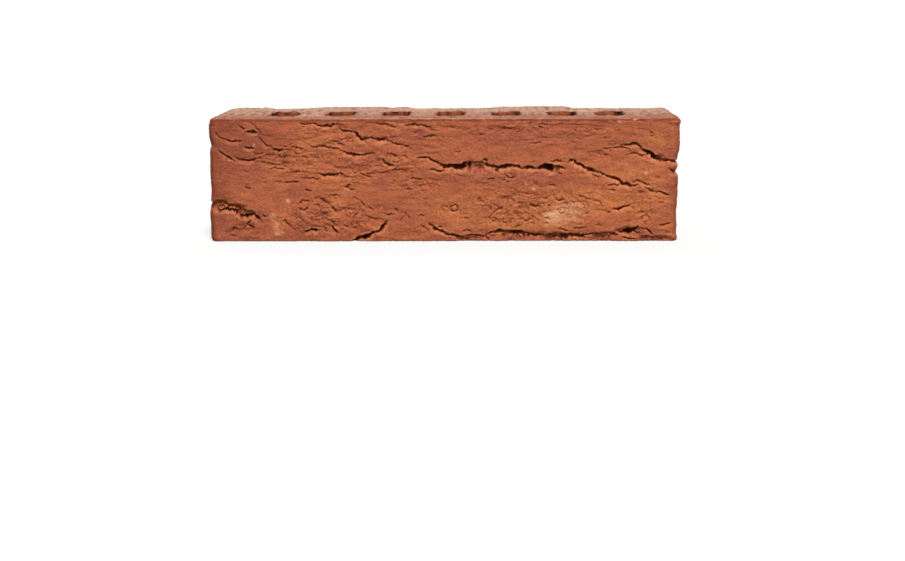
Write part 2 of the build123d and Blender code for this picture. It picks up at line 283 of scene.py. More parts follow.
    (2.2, 0.4, 0.8, [(10.8, 2.8), (12.4, 1.8), (13.2, 0.2)]),
    (2, 0.4, 0.8, [(22.4, 3.2), (23.6, 1.8), (24.2, 0.2)]),
    (1.8, 0.4, 0.8, [(93.6, 2.2), (98, 1.6), (104, 1.5)]),
    # Hairline wrinkles of the smooth upper right
    (0.7, 0.25, 1.4, [(18.3, 56), (22.5, 56.7), (24.2, 56)]),
    (0.9, 0.3, 1.2, [(25, 59.7), (27.2, 59.5)]),
    (0.6, 0.25, 1.4, [(45.4, 51.4), (52.6, 52.2)]),
    (0.6, 0.25, 1.4, [(75.5, 57.8), (78, 57.6)]),
    (0.6, 0.25, 1.4, [(90.3, 58), (94.6, 58.9)]),
    (0.6, 0.25, 1.4, [(85.7, 54.5), (89, 53.7)]),
    (0.6, 0.25, 1.4, [(68.3, 52.4), (70.9, 51.9)]),
    # Thin curled scales, lower left
    (0.9, 0.3, 1.2, [(-77.2, 19.6), (-76.6, 21.4), (-75.2, 22.1)]),
    (0.8, 0.3, 1, [(-77.2, 18.6), (-76, 17.2), (-74.8, 16.8), (-73, 17.8), (-72, 19.4)]),
    (0.8, 0.3, 1, [(-69.8, 23.2), (-68.2, 23.8), (-66.8, 22.8)]),
    (0.9, 0.3, 1, [(-66.2, 24), (-64.6, 22.6), (-63.2, 20.8), (-61.4, 19.6), (-59.8, 18.4)]),
    (1.4, 0.4, 1.4, [(-60.6, 18.8), (-58.6, 17.2), (-56.8, 15.6)]),
    (0.8, 0.3, 0.9, [(-64.2, 23.4), (-62.6, 21.4), (-60.6, 20.2)]),
    (1.3, 0.4, 1.4, [(-68.8, 19.2), (-67.4, 19.3), (-66, 17.9), (-65.2, 16.9), (-65.5, 15.2)]),
    (0.9, 0.3, 1.2, [(-79.8, 11.6), (-78.6, 12.9), (-77, 12.8), (-75.4, 11.4), (-73.4, 9.7)]),
    (0.8, 0.3, 0.9, [(-86.8, 10.2), (-86.6, 8.4), (-85.4, 7), (-84, 6.2)]),
    (0.8, 0.3, 0.9, [(-86.4, 10.7), (-84.6, 11.2), (-83.8, 9.6), (-82.6, 8), (-80.8, 7.1)]),
    (1.1, 0.4, 1, [(-64.2, 13.2), (-63, 13.1), (-62.4, 12.1)]),
    (1.5, 0.4, 1.2, [(-63.8, 7), (-63, 6.2), (-62.4, 5)]),
    (0.8, 0.3, 0.9, [(-60, 11.8), (-59, 10.8), (-57.6, 10.9)]),
    (0.8, 0.3, 1, [(-61.8, 23.4), (-60.4, 24.6), (-57, 25.2), (-55.6, 24.6), (-55.2, 22.6)]),
    (0.9, 0.3, 1, [(-49.8, 11.4), (-47.8, 14), (-46.3, 15.3), (-45.2, 14.6)]),
    (0.7, 0.3, 0.9, [(-45.4, 14), (-43, 13.8), (-40.6, 13), (-38.6, 12.2)]),
    (0.8, 0.3, 0.9, [(-44.8, 21.8), (-43.2, 20.4), (-42.2, 18.4)]),
    (0.7, 0.3, 0.9, [(-40.6, 19), (-39.2, 17.2), (-38, 15.4)]),
    (0.8, 0.3, 1, [(-47.4, 10), (-45.6, 9.8), (-44.8, 8.2), (-44.2, 6.6)]),
    (0.8, 0.3, 0.9, [(-53, 9.2), (-51.8, 8.2), (-50.8, 7)]),
    (0.7, 0.3, 0.9, [(-53.4, 15.4), (-52.2, 17), (-50.4, 16.9)]),
    (1, 0.3, 1.1, [(-74, 28.1), (-72, 27.1), (-70.8, 27)]),
    (1.2, 0.4, 1.2, [(-52.4, 29), (-51, 29.9), (-49.4, 30.2)]),
    (1, 0.3, 1, [(-50.6, 28.3), (-48.6, 27.8), (-47, 28.2)]),
    # Thin curled scales, middle and right
    (1, 0.3, 1, [(-24.2, 15.5), (-22.6, 16.3), (-20.6, 15.2), (-18.8, 13.4), (-18, 11.6),
                     (-18.6, 10.2)]),
    (0.7, 0.3, 0.9, [(-24.8, 10), (-22.6, 12.6), (-20.8, 14.8)]),
    (0.9, 0.3, 0.9, [(-13.4, 13.4), (-12.2, 14.2), (-10.8, 13.6), (-11, 12.7)]),
    (0.9, 0.3, 0.9, [(-3.4, 7.8), (-2, 8), (-0.8, 7.1)]),
    (0.7, 0.3, 0.9, [(10.6, 12.8), (12.2, 13), (13.4, 11.8)]),
    (0.9, 0.3, 1, [(8.8, 4.6), (10.8, 6), (13.2, 6.3), (15, 5.4)]),
    (0.9, 0.3, 0.9, [(26, 15.8), (28, 16.5), (29.4, 17.2), (30.6, 18.4)]),
    (0.7, 0.3, 0.9, [(24.4, 13.6), (24.8, 11.8), (26.4, 10.8), (28.4, 11)]),
    (1, 0.3, 1, [(54.6, 18.9), (56.2, 19.1), (57.2, 19.8)]),
    (0.9, 0.3, 0.9, [(60.4, 21.4), (62, 21.9), (63.6, 22.9)]),
    (1, 0.3, 1.1, [(55.4, 30.3), (57.6, 30), (60.2, 29.6)]),
    (1.2, 0.3, 1, [(48.6, 31.2), (49.4, 30.4), (49.8, 29.8)]),
    (0.8, 0.3, 0.9, [(70.2, 20.8), (72.4, 21), (74.2, 19.6)]),
    (0.8, 0.3, 0.9, [(70.4, 24.6), (73.8, 24.1), (77.4, 22.6), (80, 21.4)]),
    (1, 0.3, 1, [(80, 21.3), (82.8, 21.4), (84.2, 20.2), (84.8, 18)]),
    (0.8, 0.3, 0.9, [(86, 14.6), (87.6, 15.5), (89.2, 14.5)]),
    (0.7, 0.3, 0.9, [(42, 10.8), (44.4, 11.1), (46.6, 12.2)]),
    (0.7, 0.3, 0.9, [(45, 14.6), (48, 13.4), (50.4, 10.8)]),
    (1.2, 0.3, 1, [(60.6, 6.6), (62.6, 7), (64.2, 6.2), (66.6, 5.6), (70, 5.9)]),
    (0.9, 0.3, 1, [(67.6, 7.3), (71.4, 7.3), (75.2, 7.7)]),
    (0.8, 0.3, 0.9, [(88.4, 27.9), (90.2, 27.2), (92, 27.5)]),
    (0.7, 0.3, 0.9, [(35.6, 22.8), (37.2, 22.4), (38.2, 21)]),
    (0.7, 0.3, 0.9, [(37.4, 7.6), (39.8, 9), (41.6, 7.6)]),
    # Left end
    (3, 0.9, 3, [(-198, 44), (-188, 46.5), (-176, 45), (-163, 47.5), (-152, 44.5)]),
    (3.6, 1.1, 2.6, [(-186, 12), (-174, 15.5), (-160, 14), (-148, 18.5), (-137, 17)]),
    (2, 0.6, 2.4, [(-160, 30.5), (-149, 32.5), (-138, 30)]),
    (1.8, 0.5, 2.4, [(-200, 27.5), (-190, 25.5), (-178, 27)]),
    (1.6, 0.5, 2, [(-148, 57.5), (-139, 59), (-131, 57)]),
    # Right end
    (4.2, 1.2, 2.8, [(132.5, 42), (141, 39.5), (150, 41), (160, 37.5), (169, 38)]),
    (2.6, 0.8, 2.6, [(160, 55.5), (171, 57.5), (184, 54.5), (196, 56)]),
    (3, 0.9, 2.6, [(136, 15), (147, 13), (158, 15.5), (170, 12.5)]),
    (2, 0.6, 2.4, [(172, 24), (183, 26.5), (195, 24.5)]),
    (1.8, 0.5, 2, [(139, 27), (150, 28.5), (158, 26.5)]),
]

# Raw hollows where clay was plucked out: run, up, half width, half height, depth
HOLLOWS = [
    (13.2, 39.6, 1.9, 2.6, 4.2),
    (18.2, 38.4, 3.6, 2.6, 1.8),
    (-113, 18.3, 6.5, 1.6, 2.6),
    (-119.5, 19.4, 5.5, 2.2, 2.3),
    (-104.4, 14.8, 3.4, 1.5, 1.8),
    (55.8, 38.9, 4, 1.3, 3),
    (98.8, 4.8, 5.8, 2.3, 3.8),
    (36, 4.6, 5, 0.8, 1.6),
    (40, 2.2, 15, 2.8, 1.9),
    (62, 1.4, 14, 2.6, 2.2),
    (84, 1.8, 12, 2.8, 1.7),
    (112, 0.8, 11, 1.8, 1.5),
    (10, 0.8, 12, 1.8, 1.2),
    (-103, 7, 2.6, 1.4, 0.5),
    (112.5, 44.6, 3, 1.2, 1.6),
]

# Lumps that stayed in the torn hollow: run, up, radius, how far each stands out of it
LUMPS = [
    (-120.2, 18.6, 1.1, 2.2),
    (-117.9, 18.9, 1.4, 2),
    (-115.6, 18.8, 1, 1.6),
    (-113.2, 17.9, 1.2, 2.2),
    (-111.2, 17.6, 0.9, 1.8),
    (-109.8, 16.9, 0.8, 2.6),
    (-108.6, 15.2, 0.9, 2.8),
    (-106.3, 14.6, 0.9, 2.6),
    (-104.6, 15.6, 1, 1.8),
    (-102.6, 14.8, 0.8, 2),
]

# Round grains that show as a ring in the skin: run, up, radius, depth of the ring
GRAINS = [
    (5.4, 17.5, 1.7, 0.9),
    (0.5, 16.9, 1.6, 0.45),
    (106.8, 11.9, 1.8, 0.5),
    (-111.6, 5.2, 2.2, 0.4),
    (18.5, 22.5, 0.9, 0.6),
    (109, 56.8, 0.8, 0.6),
    (48.6, 30.8, 0.9, 0.5),
    (27.5, 12.8, 2.4, 0.3),
    (62.5, 16.4, 1.5, 0.4),
]

# Where the skin is broken into curled scales, and where it lies in level wrinkles:
# run, up, half width, half height, strength
SCALY = [
    (-64, 14, 24, 12, 1),
    (38, 17, 19, 11, 0.9),
    (-47, 40, 28, 10, 0.6),
    (70, 19, 11, 7, 0.9),
    (-30, 14, 12, 8, 0.6),
    (-12, 31, 12, 5, 0.6),
    (104, 22, 18, 12, 0.5),
    (-104, 8, 10, 5, 0.5),
    (-80, 42, 12, 6, 0.7),
    (-170, 36, 26, 16, 0.9),
    (168, 20, 24, 14, 0.9),
]
WRINKLED = [
    (45, 60, 56, 6, 0.7),
    (-60, 57, 26, 7, 0.8),
    (-78, 44, 16, 10, 1),
    (-45, 40, 26, 9, 0.9),
    (92, 48, 20, 5, 0.6),
    (40, 33, 30, 5, 0.5),
    (-20, 36, 16, 9, 0.8),
    (-22, 57, 24, 7, 0.7),
    (165, 50, 30, 9, 0.9),
    (-165, 56, 30, 7, 0.9),
]

# Colours of the face, from the kiln and partly painted shade: run, up, half width, half height, strength
ORANGE = [
    (-104, 24, 14, 7, 0.55),
    (-89, 33, 6, 7, 0.7),
    (-70, 54.5, 7, 4, 0.9),
    (-76, 45, 6, 6, 0.5),
    (98, 35, 13, 7, 1),
    (84, 24, 22, 7, 1),
    (100, 19, 14, 7, 0.8),
    (40, 9, 10, 5, 0.8),
    (-24, 60, 8, 4, 0.9),
    (42, 9, 24, 4, 1),
    (64, 20, 62, 13, 0.55),
    (6, 14, 14, 6, 0.9),
    (-41, 9, 6, 3, 0.8),
    (-88, 10, 7, 9, 0.75),
    (-52, 32, 14, 6, 0.6),
    (-55, 21, 8, 6, 0.6),
    (-20, 44, 8, 5, 0.7),
    (112, 54, 6, 5, 0.6),
    (-97, 62.5, 7, 1.6, 0.7),
    (-165, 24, 22, 12, 0.8),
    (160, 40, 24, 12, 0.7),
]
# Mauve-brown where the kiln ran short of air; over the left third of the face these patches are also painted
# shade
MAUVE = [
    (-110, 47, 13, 15, 1),
    (-114, 32, 26, 60, 0.65),
    (-116, 55, 24, 14, 1),
    (-113, 9, 19, 9, 1),
    (-80, 4, 18, 5, 0.9),
    (36, 35, 36, 4.4, 1),
    (-119, 56, 9, 16, 0.8),
    (-122, 20, 7, 7, 0.9),
    (-104, 11, 9, 5, 0.5),
    (-40, 4, 9, 4, 0.8),
    (104, 3, 10, 3, 0.6),
    (-41, 1.5, 9, 3, 1),
    (50, 0.5, 70, 3.6, 1),
    (-72, 3, 34, 5, 0.6),
    (48, 57, 50, 9, 0.55),
    (-15, 58, 16, 6, 0.6),
    (122, 27, 4, 18, 1),
    (-82, 27, 6, 4, 0.8),
    (24, 31, 26, 4, 0.8),
    (-116, 8, 10, 7, 0.6),
    (-70, 32, 10, 2.5, 0.6),
    (-45, 42, 12, 2.5, 0.6),
    (-32, 33, 8, 2, 0.7),
    (66, 33, 8, 2.5, 0.8),
    (112, 44, 9, 3, 0.6),
    (95, 27, 5, 1.6, 0.5),
    (-170, 52, 26, 12, 0.8),
    (175, 14, 26, 12, 0.7),
]
# Painted shade: patches where the face lies in shade, over its left third, along the foot and under the long
# tear: run, up, half width, half height, strength
SHADE_PATCHES = [
    (-119, 50, 12, 22, 0.6),
    (-98, 52, 18, 11, 0.55),
    (-121, 22, 10, 12, 0.75),
    (-104, 10, 12, 9, 0.5),
    (-80, 5, 16, 5, 0.4),
    (-40, 4, 9, 4, 0.6),
    (8, 36, 10, 4, 0.5),
    (58, 36, 9, 3, 0.4),
    (104, 4, 10, 4, 0.45),
]
PALE = [
    (58.5, 13.5, 5.5, 4.4, 0.85),
    (66, 16, 10, 6.5, 0.45),
    (-91, 13.5, 2.4, 2.6, 0.45),
    (-88.8, 9, 2.2, 4, 0.35),
    (-87.8, 5, 2.8, 1.6, 0.5),
    (-82.5, 21.8, 1.2, 1, 0.8),
    (47.5, 28, 1, 0.9, 0.9),
    (43.6, 31, 0.7, 1.2, 0.6),
    (97, 30.2, 1.1, 0.6, 1),
    (92.6, 63.8, 1.4, 0.6, 0.8),
    (101, 64.6, 1.2, 0.5, 0.8),
    (39, 63, 1, 0.9, 0.6),
    (-22, 62, 1.2, 0.9, 0.5),
    (106.6, 36.4, 1, 0.8, 0.6),
    (104, 7, 1.2, 0.7, 0.9),
    (-100.6, 51.5, 0.9, 1, 0.8),
    (5.4, 17.6, 1, 0.8, 0.6),
]

# Pale smears on the upper bed: x, y, half width, half depth, strength
BED_SMEARS = [
    (4, -40.4, 76, 2.2, 0.65),
    (-11, 39.5, 9, 4, 0.8),
    (97, -41, 9, 1.6, 0.7),
    (-70, -10, 12, 9, 0.3),
    (75, 20, 16, 10, 0.35),
]

# How far the upright arrises stand back, as (up, inset) points
LEFT_ARRIS = [(0, 0.2), (2, -0.5), (9, -0.7), (15, -0.8), (20, -0.4), (25, 0.1), (28, 0.2), (32, -0.1),
              (37, -0.2), (46, -0.1), (49, 0), (51, 0.8), (53, 0.3), (56, -0.4), (62, -0.4), (65.5, 0.3)]
RIGHT_ARRIS = [(0, 0.1), (1.5, -0.5), (4, 0.3), (8, 0.2), (12, 0.4), (15, 0.4), (20, 0), (25, -0.1),
               (30, -0.4), (35, -0.2), (36.5, 1.2), (38, 0.7), (40, -0.1), (43, 0.4), (44.5, 0.2),
               (48, -0.7), (52, -1), (55, -0.9), (58, -0.7), (61.5, -0.6), (63.5, -1.4), (65.5, -0.4)]

# How high the upper bed rises along its back edge, as (x, rise) points
BACK_RIDGE = [(-124, 0.2), (-120, 0.6), (-106, 0.8), (-103, 1.1), (-101, 0.8), (-98, 0.1), (-84, 0.2),
              (-70, 1.1), (-38, 1.2), (-30, 0.7), (-26, 1), (-21, 0.8), (-18, 0.3), (16, 0.2),
              (26, 0.6), (32, 1.2), (52, 1.3), (68, 1.1), (72, 0.3), (108, 0), (116, -0.1), (124, -0.4)]

# Number of small tears strewn over the torn sides, and their seed
SMALL_TEARS, SMALL_TEAR_SEED = 620, 17

# Ledges of torn clay, wide ones and narrow ones: height, spacing, bend and seed
LEVEL_LEDGES = [(0.80, 6.0, 0.8, 61), (0.36, 2.3, 0.9, 63)]
CURLED_LEDGES = [(0.85, 5.0, 1.7, 65), (0.42, 2.1, 1.5, 67)]


def on_brick(route):
    """Brings (run, up) points to the brick's own millimetres. They were read off the picture at
    one scale, 1.874 pixels per millimetre, though the top of the face is nearer and looks longer:
    the run is stretched by 0.9973 at the foot and 0.9856 at the top."""
    run, up = np.asarray(route, float).T
    share = up / 65.0
    return np.stack([run * (0.9973 - 0.0117 * share) + 0.21 - 0.69 * share, share * HEIGHT], axis=1)


def patches(run, up, places):
    """Greatest of several soft ellipses: strength times exp(-(r/R)^2.8)."""
    strongest = np.zeros_like(run)
    for x, z, half_x, half_z, strength in places:
        r2 = ((run - x) / half_x) ** 2 + ((up - z) / half_z) ** 2
        strongest = np.maximum(strongest, np.exp(-(r2**1.4)) * strength)
    return strongest


def small_tears(seed):
    """Short shallow tears strewn over the torn sides, as entries like those of TEARS. They are
    frequent and level where the skin is wrinkled, and lie at all angles where it is scaly."""
    rng = np.random.default_rng(seed)
    run = rng.uniform(-204, 204, SMALL_TEARS)
    up = rng.uniform(2, 63.5, SMALL_TEARS)
    scaly, wrinkled = patches(run, up, SCALY), patches(run, up, WRINKLED)
    kept = rng.random(SMALL_TEARS) < 0.14 + 0.45 * scaly + 0.6 * wrinkled
    tears = []
    for x, z, scale in zip(run[kept], up[kept], scaly[kept]):
        lean = rng.normal(-0.10 - 0.35 * scale, 0.10 + 0.5 * scale)
        half = rng.uniform(0.8, 3.6) * (1 - 0.35 * scale)
        sag = rng.normal(0.55 * scale, 0.16 + 0.35 * scale) * half
        along = np.array([-1.0, -0.75, -0.3, 0.3, 0.75, 1.0])
        shift = rng.normal(0, 0.15, len(along)) + sag * (1 - along**2)
        level, rise = half * along * math.cos(lean), half * along * math.sin(lean) + shift
        depth, gape, slope = 0.25 + rng.exponential(0.28), rng.uniform(0.15, 0.35), rng.uniform(0.8, 2.0)
        tears.append((depth, gape, slope, np.stack([x + level, z + rise], axis=1)))
    return tears


def nearest_on_route(run, up, route):
    """Signed distance of each point from a broken line, positive above it, and how far along
    the line its nearest point is, from 0 to 1."""
    knots = np.asarray(route, float)
    legs = np.diff(knots, axis=0)
    lengths = np.linalg.norm(legs, axis=1)
    before = np.concatenate([[0.0], np.cumsum(lengths)[:-1]])
    away_x = run[..., None] - knots[:-1, 0]
    away_z = up[..., None] - knots[:-1, 1]
    along = (away_x * legs[:, 0] + away_z * legs[:, 1]) / lengths**2
    along = np.clip(along, 0, 1)
    off_x = away_x - along * legs[:, 0]
    off_z = away_z - along * legs[:, 1]
    distance = np.hypot(off_x, off_z)
    side = legs[:, 0] * off_z - legs[:, 1] * off_x
    best = distance.argmin(axis=-1)[..., None]
    share = np.take_along_axis(before + along * lengths, best, axis=-1)[..., 0] / lengths.sum()
    nearest = np.take_along_axis(distance, best, axis=-1)[..., 0]
    sign = np.where(np.take_along_axis(side, best, axis=-1)[..., 0] >= 0, 1.0, -1.0)
    return nearest * sign, share


def tear_profile(distance, share, ragged, depth, gape, slope):
    """Depth across a tear. Above its lip it is 0, under the lip it drops at once to the full
    depth, holds for the gape, rises steeply to a third and then gently back over the slope.
    It tapers as the root of a sine along the tear, and a ragged noise widens and narrows it."""
    taper = np.sqrt(np.sin(np.pi * np.clip(share, 0.015, 0.985)))
    below = -distance
    mouth = gape * (0.4 + 0.8 * taper) * np.clip(1 + 0.85 * ragged, 0.15, 2.2)
    drop = smooth_step(-0.26, 0.14, below)
    wall = 1 - smooth_step(mouth, mouth + 0.5, below)
    ramp = np.clip(1 - (below - mouth) / (slope * (0.5 + 0.5 * taper)), 0, 1) ** 1.5
    strength = depth * taper * np.clip(0.85 + 0.5 * ragged, 0.25, 1.4)
    return drop * strength * (0.64 * wall + 0.36 * ramp)


def sheet_relief(run, up, ragged):
    """Depth of tears, hollows and grains over the unrolled sheet, as rows by columns."""
    depth = np.zeros_like(run)
    columns, rows = run[0], up[:, 0]
    placed = [(d, gape, slope, on_brick(route)) for d, gape, slope, route in TEARS]
    for tear_depth, gape, slope, route in placed + small_tears(SMALL_TEAR_SEED):
        margin = gape + slope + 3.0
        middle, half = route[:, 0].mean(), np.ptp(route[:, 0]) / 2
        lowest, highest = route[:, 1].min() - margin, route[:, 1].max() + margin
        near_x = np.flatnonzero(np.abs(columns - middle) < half + margin + 2.5)
        near_z = np.flatnonzero((rows > lowest) & (rows < highest))
        if not (near_x.size and near_z.size):
            continue
        window = np.ix_(near_z, near_x)
        distance, share = nearest_on_route(run[window], up[window], route)
        shape = tear_profile(distance, share, ragged[window], tear_depth, gape, slope)
        depth[window] = np.maximum(depth[window], shape)
    for x, z, half_x, half_z, hollow_depth in HOLLOWS:
        r2 = ((run - x) / half_x) ** 2 + ((up - z) / half_z) ** 2
        depth = np.maximum(depth, hollow_depth * np.exp(-(r2**1.5)) * (1 + 0.6 * ragged))
    for x, z, radius, rise in LUMPS:
        r2 = ((run - x) ** 2 + (up - z) ** 2) / radius**2
        depth = depth - rise * np.exp(-(r2**1.5)) * (depth > rise)
    for x, z, radius, ring_depth in GRAINS:
        r = np.hypot(run - x, up - z)
        ring = ring_depth * np.exp(-(((r - radius) / 0.38) ** 2))
        depth = np.maximum(depth, ring)
    return depth


def ledges(points, spacing, bend, seed, stretch):
    """Broken steps of torn clay, 0 to 1: a sawtooth of the height, bent by a noise. Going down
    from a lip the skin falls back within 0.4 mm and then leans out again to the next lip. The
    noise is stretched along the brick where the steps are to lie level."""
    bent = points[:, 2] / spacing + bend * layered_noise(points, 2.4 * spacing, seed, stretch=stretch)
    fraction = bent - np.floor(bent)
    return fraction**1.4 * (1 - smooth_step(1 - 0.4 / spacing, 1.0, fraction))


def side_relief(points, normals, run, up):
    """Inward depth of the whole upright skin, with the depth of its tears alone and the shares
    of scaly and wrinkled skin.

    Skin: a slow swell, level and curled ledges of two sizes each, folds, and a fine tooth.
    Tears: the routes above, read through a warp of about half a millimetre. The back was
    wiped smooth by the die and keeps only its drag lines. The arrises follow their insets."""
    shape = run.shape
    flat = points.reshape(-1, 3)
    torn = np.clip(1 - 1.15 * np.clip(normals[..., 1], 0, 1), 0, 1)

    def noise(size, seed, **options):
        return layered_noise(flat, size, seed, **options).reshape(shape)

    ragged = np.clip(0.7 * noise(5.0, 11, layers=2) + 0.6 * noise(1.9, 13, layers=2), -1, 1)
    warped_run = run + 0.8 * noise(6.0, 21, layers=2) + 0.35 * noise(1.6, 23, layers=2)
    warped_up = up + 0.55 * noise(4.0, 31, layers=4, gain=0.65)
    tears = sheet_relief(warped_run, warped_up, ragged) * torn
    clods = np.abs(noise(3.0, 15, layers=3)) * smooth_step(1.2, 3.2, tears)
    tears = np.maximum(tears - 2.2 * clods, 0.25 * tears)

    scaly = np.clip(patches(warped_run, warped_up, SCALY) + 0.3 * noise(20.0, 51, layers=2), 0, 1)
    wrinkled = np.clip(patches(warped_run, warped_up, WRINKLED) + 0.25 * noise(16.0, 53, layers=2), 0, 1)
    here = smooth_step(-0.25, 0.45, noise(7.0, 55, layers=2, stretch=(2.0, 2.0, 1.0)))
    there = smooth_step(-0.15, 0.45, noise(4.0, 57, layers=2, stretch=(1.6, 1.6, 1.0)))

    level_steps, curled_steps = np.zeros(shape), np.zeros(shape)
    for steps, sizes, stretch in (
        (level_steps, LEVEL_LEDGES, (3.0, 3.0, 1.0)),
        (curled_steps, CURLED_LEDGES, (1.3, 1.3, 1.0)),
    ):
        for place, (height, spacing, bend, seed) in zip((here, there), sizes):
            steps += height * place * ledges(flat, spacing, bend, seed, stretch).reshape(shape)
    folds = 0.28 * (1 - np.abs(noise(2.4, 71, layers=3, stretch=(4.5, 4.5, 1.0)))) ** 4
    tooth = 0.13 * noise(1.5, 81, layers=2, gain=0.7)
    coarse = 0.34 * noise(4.5, 83, layers=4, gain=0.6, stretch=(1.7, 1.7, 1.0))
    curls = 0.7 * (1 - np.abs(noise(4.2, 73, layers=2, gain=0.35))) ** 7
    skin = level_steps * (0.22 + 0.65 * wrinkled) + curled_steps * (0.12 + 0.6 * scaly)
    skin += curls * scaly * there
    skin += folds * (0.3 + wrinkled) + tooth * (0.8 + 0.6 * scaly) + coarse * (0.6 + 0.7 * scaly)

    arris = smooth_step(LENGTH / 2 - 8, LENGTH / 2 - 1, np.abs(run)) * (normals[..., 1] < 0.5)
    inset = np.where(run < 0, np.interp(up, *zip(*LEFT_ARRIS)), np.interp(up, *zip(*RIGHT_ARRIS)))
    swell = 0.45 * noise(48.0, 41, layers=2) + 0.38 * noise(14.0, 43, layers=2)
    drag = 0.10 * layered_noise(flat * (1, 1, 0.02), 2.2, 91).reshape(shape) + 0.05 * noise(1.2, 93)
    base = 0.5 + swell * (0.35 + 0.65 * torn) * (1 - 0.85 * arris) + (inset - 0.5) * arris
    relief = base + skin * torn * (1 - 0.35 * arris) + drag * (1 - torn) + tears
    zones = {"hollow": tears, "scaly": scaly * torn, "wrinkled": wrinkled * torn}
    return np.maximum(relief, -1.2), zones


def sunk(relief, reach):
    """How much deeper each point lies than the mean of the points within `reach` steps, by a
    running mean along the rows and one along the columns."""
    steps = range(-reach, reach + 1)
    along = sum(np.roll(relief, k, axis=1) for k in steps) / len(steps)
    last = len(relief) - 1
    upright = sum(along[np.clip(np.arange(last + 1) + k, 0, last)] for k in steps) / len(steps)
    return relief - upright


def slot_rim(x, y):
    """Distance from the nearest slot's outline, the least over all slots."""
    rim = np.full_like(x, np.inf)
    for place in SLOT_PLACES:
        inside = distance_inside(x - place, y, SLOT_WIDTH, SLOT_DEPTH, SLOT_RADIUS)
        rim = np.minimum(rim, np.abs(inside))
    return rim


def bed_relief(x, y, seed):
    """Depth of a wire-cut bed at (x, y): a slow swell, scratches that the wire drew from face to
    back, small plucked pits, and crumbs that stand up or broke out along the slots' rims."""
    flat = np.stack([x, y, np.full_like(x, 7.3 * seed)], axis=1)
    swell = 0.16 * layered_noise(flat, 42.0, seed, layers=2)
    scratches = 0.12 * layered_noise(flat, 2.2, seed + 5, layers=2, gain=0.6, stretch=(1.0, 12.0, 1.0))
    tooth = 0.22 * layered_noise(flat, 4.2, seed + 9, layers=3, gain=0.6)
    pits = 0.75 * smooth_step(0.55, 1.0, layered_noise(flat, 5.0, seed + 13, layers=3))
    ragged = np.clip(layered_noise(flat, 5.0, seed + 17, layers=3), -1, 1)
    rim = slot_rim(x, y)
    crumbs = np.exp(-((rim / 1.3) ** 2)) * (0.55 * ragged - 0.12)
    worn = 0.25 * np.exp(-(((DEPTH / 2 + y) / 0.9) ** 2))
    return 0.36 + swell + scratches + tooth + pits + worn - crumbs


def lower_bed(x, y):
    """Height of the lower bed: its relief less 0.5 mm, and never below the plane it lies on."""
    return np.maximum(bed_relief(x, y, 200) - 0.5, 0.02)


def upper_bed(x, y):
    """Height of the upper bed: the plain height less its relief, plus the ridge that the wire tore
    up along its back edge or, where that is more, a swelling of 0.4 mm towards the right end."""
    ridge = np.interp(x, *zip(*BACK_RIDGE)) * smooth_step(DEPTH / 2 - 7, DEPTH / 2 - 1, y)
    swollen = smooth_step(LENGTH / 2 - 14, LENGTH / 2 - 1, x) * smooth_step(-DEPTH / 2, -DEPTH / 2 + 15, y)
    return HEIGHT - bed_relief(x, y, 300) + np.maximum(ridge, 0.4 * swollen)


def grid_quads(rows, columns, first, outward=True):
    """Quads of a grid that is closed along its columns, as indices from `first` on."""
    i, j = np.meshgrid(np.arange(rows - 1), np.arange(columns), indexing="ij")
    k = (j + 1) % columns
    corners = [i * columns + j, i * columns + k, (i + 1) * columns + k, (i + 1) * columns + j]
    quads = np.stack(corners, axis=-1).reshape(-1, 4) + first
    return quads if outward else quads[:, ::-1]


def bed_triangles(rings, interior):
    """Triangles between the brick's outline, the slots' outlines and loose interior points.
    rings are closed loops of (x, y) points, the brick's first. Indices count through the rings
    and then the interior."""
    edges, start = [], 0
    for ring in rings:
        index = np.arange(len(ring)) + start
        edges.append(np.stack([index, np.roll(index, -1)], axis=1))
        start += len(ring)
    points = np.concatenate([*rings, interior])
    links = np.concatenate(edges).tolist()
    made = delaunay_2d_cdt([Vector(p) for p in points.tolist()], links, [], 1, 1e-7)
    triangles = np.array(made[2])
    centre = points[triangles].mean(axis=1)
    in_slot = np.zeros(len(triangles), bool)
    for place in SLOT_PLACES:
        x, y = centre[:, 0] - place, centre[:, 1]
        in_slot |= distance_inside(x, y, SLOT_WIDTH, SLOT_DEPTH, SLOT_RADIUS) < -0.02
    triangles = triangles[~in_slot]
    a, b, c = (points[triangles[:, i]] for i in range(3))
    turn = (b[:, 0] - a[:, 0]) * (c[:, 1] - a[:, 1]) - (b[:, 1] - a[:, 1]) * (c[:, 0] - a[:, 0])
    triangles[turn < 0] = triangles[turn < 0][:, ::-1]
    return triangles


def bed_points(seed, step):
    """Loose points over a bed, on a shaken grid, with one row close round each slot."""
    rng = np.random.default_rng(seed)
    xs = np.arange(-LENGTH / 2, LENGTH / 2, step)
    ys = np.arange(-DEPTH / 2, DEPTH / 2, step)
    x, y = (a.ravel() for a in np.meshgrid(xs, ys))
    x = x + rng.uniform(-0.3, 0.3, x.shape)
    y = y + rng.uniform(-0.3, 0.3, y.shape)
    keep = distance_inside(x, y, LENGTH, DEPTH, CORNER_RADIUS) < -0.9
    collars = []
    for place in SLOT_PLACES:
        keep &= distance_inside(x - place, y, SLOT_WIDTH, SLOT_DEPTH, SLOT_RADIUS) > 1.5
        outline, normals, _ = rounded_loop(SLOT_WIDTH, SLOT_DEPTH, SLOT_RADIUS, (1.1, 1.1, 1.1), 7)
        collars.append(outline + 0.75 * normals + (place, 0))
    return np.concatenate([np.stack([x, y], axis=1)[keep], *collars])


def edge_rows(step):
    """Heights of a wall's rows, closer together at both beds."""
    close = np.array([0.0, 0.22, 0.5])
    middle = np.linspace(0.9, HEIGHT - 0.9, round((HEIGHT - 1.8) / step))
    return np.concatenate([close, middle, HEIGHT - close[::-1]])


def rounded_edge(up, radius):
    """Inward step of a quarter round at both beds: r - sqrt(r^2 - (r - h)^2)."""
    height = np.minimum(np.minimum(up, HEIGHT - up), radius)
    return radius - np.sqrt(radius**2 - (radius - height) ** 2)


